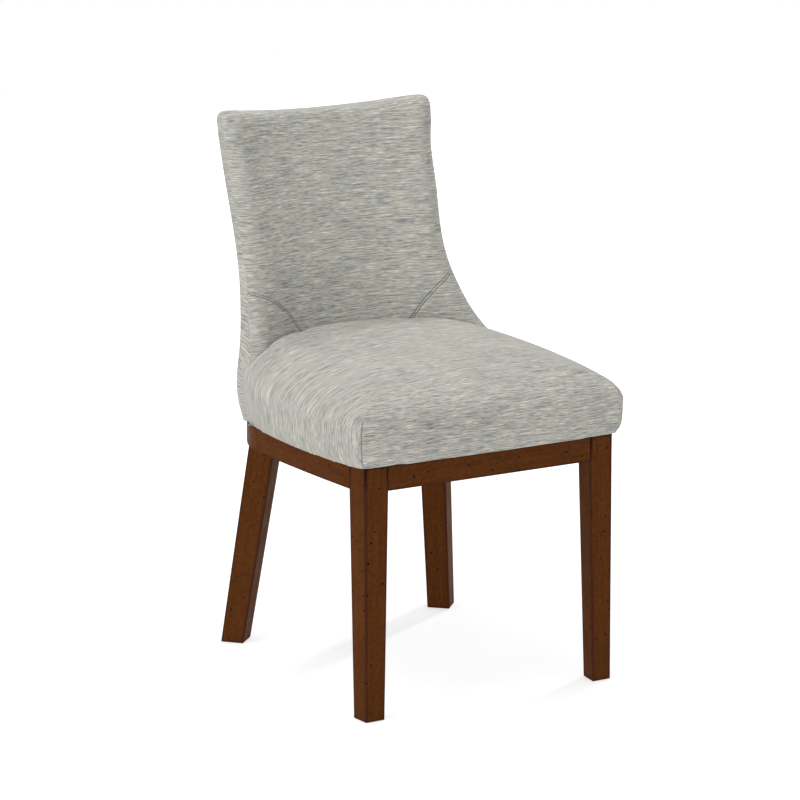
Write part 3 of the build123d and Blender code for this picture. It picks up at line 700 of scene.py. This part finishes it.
def seat_threads(place, facing, panel):
    """Threads cross the seat and turn down over its sides; in front and behind they stay level."""
    sides = np.cross((0.0, 1.0, 0.0), facing)
    front = np.zeros_like(place)
    front[:, 0] = 1.0
    front -= facing * facing[:, :1]
    share = (panel == 1).astype(float)
    share = np.maximum(share, np.clip(facing[:, 1] * 2.5 - 0.75, 0, 1))[:, None]
    return sides * (1 - share) + front * share


def add_finer(piece):
    finer = piece.modifiers.new("finer", "SUBSURF")
    finer.levels = finer.render_levels = 1


bm = gathered_form("seat_cushion", ["seat_cover"], ["seat_foam", "seat_board", "dust_cover"])
foot = cut_foot(bm, SEAT_FOOT)
fill_out(bm, "seat_cushion", SEAT_SWELL, on_dart)
cut_dart(bm)
sink_foot(bm, foot)
lay_weave(bm, seat_panel, seat_threads)
seat = finish_piece(bm, "seat_cushion", cover_cloth)
add_finer(seat)
stand_in(seat, "cover_cloth", "seat_cover", "seat_foam")


# Dust cover and back lining: two flat pieces of thin black cambric. One is stapled under the seat
# board and the other closes the foot of the back; each is cut a little short of its cushion.
LINING_THICKNESS = 0.0007
SEAT_MARGIN, BACK_MARGIN = 0.0025, 0.0060
CAMBRIC_GROUND, CAMBRIC_YARN = (0.006, 0.006, 0.007, 1), (0.022, 0.022, 0.024, 1)


def cambric():
    material, tree, finish = new_material("black_cambric")
    place = add_node(tree, "TexCoord").outputs["Object"]
    ends, picks = add_ribs(tree, place, 220.0, "X"), add_ribs(tree, place, 220.0, "Y")
    weave = add_math(tree, "MULTIPLY", ends, picks)
    colour = add_mix(tree, weave, CAMBRIC_GROUND, CAMBRIC_YARN)
    tree.links.new(colour, finish.inputs["Base Color"])
    finish.inputs["Roughness"].default_value = 0.9
    bump = add_node(tree, "Bump", {"Height": weave, "Strength": 0.4, "Distance": 0.0002})
    tree.links.new(bump.outputs[0], finish.inputs["Normal"])
    return material


lining_cloth = cambric()


def make_lining(name, node, margin):
    """A flat sheet cut to the outline of its node, less a margin all round."""
    bm = bmesh.new()
    bm.from_mesh(nodes[node].data)
    bmesh.ops.remove_doubles(bm, verts=bm.verts[:], dist=0.00002)
    rest = [face for face in bm.faces if face.normal.z > -0.9]
    bmesh.ops.delete(bm, geom=rest, context="FACES")
    bmesh.ops.dissolve_limit(bm, angle_limit=0.01, verts=bm.verts[:], edges=bm.edges[:])
    ring = bmesh.ops.inset_region(bm, faces=bm.faces[:], thickness=margin, use_boundary=True,
                                  use_even_offset=True)["faces"]
    bmesh.ops.delete(bm, geom=ring, context="FACES")
    bmesh.ops.delete(bm, geom=[vert for vert in bm.verts if not vert.link_faces], context="VERTS")
    area = sum(face.calc_area() for face in bm.faces)
    upper = bmesh.ops.extrude_face_region(bm, geom=bm.faces[:], use_keep_orig=True)["geom"]
    upper = [part for part in upper if isinstance(part, bmesh.types.BMVert)]
    bmesh.ops.translate(bm, vec=(0, 0, LINING_THICKNESS), verts=upper)
    bmesh.ops.recalc_face_normals(bm, faces=bm.faces)
    piece = finish_piece(bm, name, lining_cloth, smooth=False)
    stand_in(piece, "lining_cloth", node)


make_lining("seat_dust_sheet", "dust_cover", SEAT_MARGIN)
make_lining("back_foot_sheet", "back_lining", BACK_MARGIN)


# Back cushion: foam over the posts and webbing, in an inside back, two wing panels and an outside
# back of the same weave. Two rows of stitching hold each wing seam, a plain seam runs round the
# edge, and the cloth is stapled below.
BACK_COVERS = ["inside_back_cover", "outside_back_cover", "wing_panel_left", "wing_panel_right"]
BACK_FRAME = ["back_post_left", "back_post_right", "crest_rail", "lower_back_rail", "back_webbing"]
SEAMS = {-1: (Vector((0.0983, 0.5148)), Vector((0.1822, 0.5843)), 0.0126),
         1: (Vector((0.1059, 0.5135)), Vector((0.1795, 0.5846)), 0.0040)}
SEAM_TAIL = 0.040
SEAM_CUTS = (-0.0042, -0.0028, -0.0018, -0.0009, 0.0, 0.0009, 0.0018, 0.0028, 0.0042)
ROW_GAP = 0.0018
ROW_WIDTH = 0.0009
ROW_DEPTH = 0.0011
EDGE_DEPTH = 0.0007
CORNER_X, CORNER_Z = 0.165, 0.830
BACK_FOOT = 0.4010
BACK_SWELL = 0.0016


def seam_side(place):
    return 1 if place.x > 0 else -1


def seam_bow(side, along):
    """Rise of a bowed seam over the straight line from its foot to its head."""
    foot, head, bow = SEAMS[side]
    share = along / (head - foot).length
    return 4 * bow * (share * (1 - share) if share < 1 else 1 - share)


def seam_place(place):
    """Distance along a wing seam from its foot, and across it: above zero on the wing."""
    side = seam_side(place)
    foot, head, bow = SEAMS[side]
    way = (head - foot).normalized()
    gap = Vector((abs(place.x), place.z)) - foot
    along = gap.dot(way)
    return along, gap.x * way.y - gap.y * way.x + seam_bow(side, along)


def seam_length(side):
    foot, head, bow = SEAMS[side]
    return (head - foot).length + SEAM_TAIL


front_tree = skin_tree("inside_back_cover", "wing_panel_left", "wing_panel_right")
rear_tree = skin_tree("outside_back_cover")


def edge_gap(place):
    """Signed distance from the edge seam: above zero on the front panels."""
    return rear_tree.find_nearest(place)[3] - front_tree.find_nearest(place)[3]


def by_wing_seam(place, reach):
    along, across = seam_place(place)
    beside = -0.012 < along < seam_length(seam_side(place)) and abs(across) < reach
    return beside and edge_gap(place) > -0.002


def cut_line(bm, value):
    """Add a line of edges where a value given for each vertex passes through nought."""
    gaps = {vert: value(vert.co) for vert in bm.verts}
    gaps = {vert: gap for vert, gap in gaps.items() if gap is not None}
    line = {vert for vert, gap in gaps.items() if gap == 0}
    for edge in bm.edges[:]:
        first, second = edge.verts
        if first not in gaps or second not in gaps or gaps[first] * gaps[second] >= 0:
            continue
        share = gaps[first] / (gaps[first] - gaps[second])
        if share < 0.08 or share > 0.92:
            line.add(first if share < 0.08 else second)
        else:
            line.add(bmesh.utils.edge_split(edge, first, share)[1])
    bmesh.ops.connect_verts(bm, verts=list(line))
    return line


def cut_wing_seams(bm):
    """Loops beside each wing seam for its two sunk rows of stitching."""
    for gap in SEAM_CUTS:
        def row(place):
            return seam_place(place)[1] - gap if by_wing_seam(place, 0.018) else None

        cut_line(bm, row)


def sink_back_seams(bm, edge_line):
    """Sink the rows of stitching and the edge seam, and mark them for painted shade in the weave."""
    bm.normal_update()
    seam = bm.verts.layers.float.new("seam")
    depths = {}
    for vert in bm.verts:
        if vert.co.z < BACK_FOOT + 0.001:
            continue
        if vert in edge_line:
            depths[vert] = EDGE_DEPTH
            vert[seam] = 0.45
        elif by_wing_seam(vert.co, 0.005):
            along, across = seam_place(vert.co)
            fade = min(1.0, max(0.0, (seam_length(seam_side(vert.co)) - along) / 0.03))
            across = (abs(across) - ROW_GAP) / ROW_WIDTH
            depths[vert] = fade * ROW_DEPTH * math.exp(-across * across)
            vert[seam] = fade * max(0.0, 1 - abs(across)) * 0.8
    for vert, depth in depths.items():
        vert.co -= vert.normal * depth


def back_panel(face):
    """0 on the inside back, 1 on a wing, 2 on the outside back and 3 underneath."""
    centre = face.calc_center_median()
    if face.normal.z < -0.9:
        return 3
    if edge_gap(centre) < 0:
        return 2
    along, across = seam_place(centre)
    return 1 if across > 0 and along > -0.05 and abs(centre.x) > 0.09 else 0


def back_threads(place, facing, panel):
    """Threads run level round the back, and straight across its top."""
    threads = np.cross((0.0, 0.0, 1.0), facing)
    threads[:, 0] += np.maximum(0.0, facing[:, 2]) * np.where(panel == 2, -1.0, 1.0)
    return threads


bm = gathered_form("back_cushion", BACK_COVERS, ["back_foam", "back_lining", *BACK_FRAME])
corners = [vert for vert in bm.verts if abs(vert.co.x) > CORNER_X and vert.co.z > CORNER_Z]
relax(bm, corners, 6)
foot = cut_foot(bm, BACK_FOOT)
fill_out(bm, "back_cushion", BACK_SWELL, lambda vert: abs(edge_gap(vert.co)) < 0.003)
edge_line = cut_line(bm, edge_gap)
cut_wing_seams(bm)
sink_back_seams(bm, edge_line)
bmesh.ops.triangulate(bm, faces=[foot])
lay_weave(bm, back_panel, back_threads)
cloth_tree = BVHTree.FromBMesh(bm)
back = finish_piece(bm, "back_cushion", cover_cloth)
add_finer(back)
stand_in(back, "cover_cloth", *BACK_COVERS, "back_foam")


# Wing stitching: waxed dark-grey thread, lock-stitched in two rows along each wing seam, one row on
# either side of the join.
STITCH_LENGTH, STITCH_PITCH, STITCH_RADIUS = 0.0033, 0.0042, 0.00042
THREAD_DARK, THREAD_PALE = (0.045, 0.045, 0.042, 1), (0.110, 0.108, 0.100, 1)


def thread():
    material, tree, finish = new_material("grey_thread")
    place = add_node(tree, "TexCoord").outputs["Object"]
    twist = add_noise(tree, place, (2200, 2200, 2200), 1.0, 0.5, flat=False)
    colour = add_mix(tree, twist, THREAD_DARK, THREAD_PALE)
    tree.links.new(colour, finish.inputs["Base Color"])
    finish.inputs["Roughness"].default_value = 0.7
    return material


bm = bmesh.new()
for side, (foot, head, bow) in SEAMS.items():
    way = (head - foot).normalized()
    inward = Vector((-way.y, way.x))
    for row in (-ROW_GAP, ROW_GAP):
        for index in range(int((head - foot).length / STITCH_PITCH) + 3):
            ends = []
            for along in (index * STITCH_PITCH, index * STITCH_PITCH + STITCH_LENGTH):
                spot = foot + way * along + inward * (seam_bow(side, along) + row)
                start = Vector((side * spot.x, -0.5, spot.y))
                ends.append(cloth_tree.ray_cast(start, Vector((0, 1, 0)))[0])
            if None in ends or edge_gap(ends[1]) < 0.001:
                continue
            run = ends[1] - ends[0]
            if run.length > 2 * STITCH_LENGTH:
                continue
            middle = Matrix.Translation((ends[0] + ends[1]) / 2)
            turn = run.to_track_quat("X", "Z").to_matrix().to_4x4()
            size = Matrix.Diagonal((run.length / 2, STITCH_RADIUS, STITCH_RADIUS, 1))
            bmesh.ops.create_uvsphere(bm, u_segments=6, v_segments=4, radius=1.0,
                                      matrix=middle @ turn @ size)
stitching = finish_piece(bm, "wing_stitching", thread())
stand_in(stitching, "cover_cloth")


# Floor, light and camera: a white sweep with faint shadows, soft light from above and both sides
# and a low sun from the rear right, seen from the front left through a long lens.
EYE = (-2.7186, -4.7153, 1.7141)
LOOK = (math.radians(76.63), 0.0, math.radians(-29.98))
LENS = 158.57
WHITE = (1, 1, 1, 1)
CARD_SEEN, CARD_PLAIN = (0.55, 0.55, 0.55, 1), (0.92, 0.92, 0.92, 1)
FLOOR_GLOW = 0.63
SKY_LIGHT = 0.53


def seen_rays(tree):
    """One for the rays that show the background: the camera's, and those in gloss and glass."""
    ray = add_node(tree, "LightPath").outputs
    seen = add_math(tree, "MAXIMUM", ray["Is Camera Ray"], ray["Is Glossy Ray"])
    return add_math(tree, "MAXIMUM", seen, ray["Is Transmission Ray"])


def white_floor():
    """White to the camera with a share of real shadow; plain white card to all other rays."""
    material, tree, finish = new_material("white_sweep")
    tree.nodes.remove(finish)
    place = add_node(tree, "TexCoord").outputs["Object"]
    far = add_node(tree, "VectorMath", {0: place}, operation="LENGTH").outputs["Value"]
    near = add_range(tree, far, 0.9, 1.6, 1.0, 0.0, smooth=True)
    strength = add_range(tree, near, 0.0, 1.0, 1.0, FLOOR_GLOW)
    glow = add_node(tree, "Emission", {"Color": WHITE, "Strength": strength}).outputs[0]
    card = add_node(tree, "BsdfDiffuse", {"Color": CARD_SEEN}).outputs[0]
    shown = add_node(tree, "AddShader", {0: glow, 1: card}).outputs[0]
    plain = add_node(tree, "BsdfDiffuse", {"Color": CARD_PLAIN}).outputs[0]
    both = add_node(tree, "MixShader", {0: seen_rays(tree), 1: plain, 2: shown}).outputs[0]
    tree.links.new(both, tree.nodes["Material Output"].inputs[0])
    return material


bm = bmesh.new()
bmesh.ops.create_grid(bm, x_segments=1, y_segments=1, size=6.0)
floor = finish_piece(bm, "floor", white_floor(), smooth=False)

world = bpy.data.worlds.new("studio")
world.use_nodes = True
bpy.context.scene.world = world
tree = world.node_tree
sky = tree.nodes["Background"]
sky.inputs["Color"].default_value = WHITE
strength = add_range(tree, seen_rays(tree), 0.0, 1.0, SKY_LIGHT, 1.0)
tree.links.new(strength, sky.inputs["Strength"])


def add_lamp(name, kind, energy, place, aim, **settings):
    data = bpy.data.lights.new(name, kind)
    data.energy = energy
    for key, value in settings.items():
        setattr(data, key, value)
    lamp = bpy.data.objects.new(name, data)
    lamp.location = place
    lamp.rotation_euler = (Vector(aim) - Vector(place)).to_track_quat("-Z", "Y").to_euler()
    bpy.context.scene.collection.objects.link(lamp)


add_lamp("low_sun", "SUN", 0.95, (2.2, 1.05, 1.75), (0, 0, 0), angle=math.radians(3))
add_lamp("overhead", "AREA", 29.0, (-0.5, 0.0, 2.6), (0, 0, 0.4), shape="DISK", size=2.2)
add_lamp("left_fill", "AREA", 27.0, (-2.6, -0.6, 0.7), (0, 0, 0.4), shape="DISK", size=1.6)
add_lamp("right_fill", "AREA", 6.0, (2.5, -1.6, 0.6), (0, 0, 0.35), shape="DISK", size=1.4)
add_lamp("front_fill", "AREA", 8.5, (0.3, -2.0, 0.1), (0, -0.2, 0.3), shape="DISK", size=1.2)

camera = bpy.data.objects.new("camera", bpy.data.cameras.new("camera"))
camera.location = EYE
camera.rotation_euler = LOOK
camera.data.lens = LENS
camera.data.sensor_width = 36.0
camera.data.clip_end = 50.0
bpy.context.scene.collection.objects.link(camera)
bpy.context.scene.camera = camera
bpy.context.scene.view_settings.view_transform = "Standard"
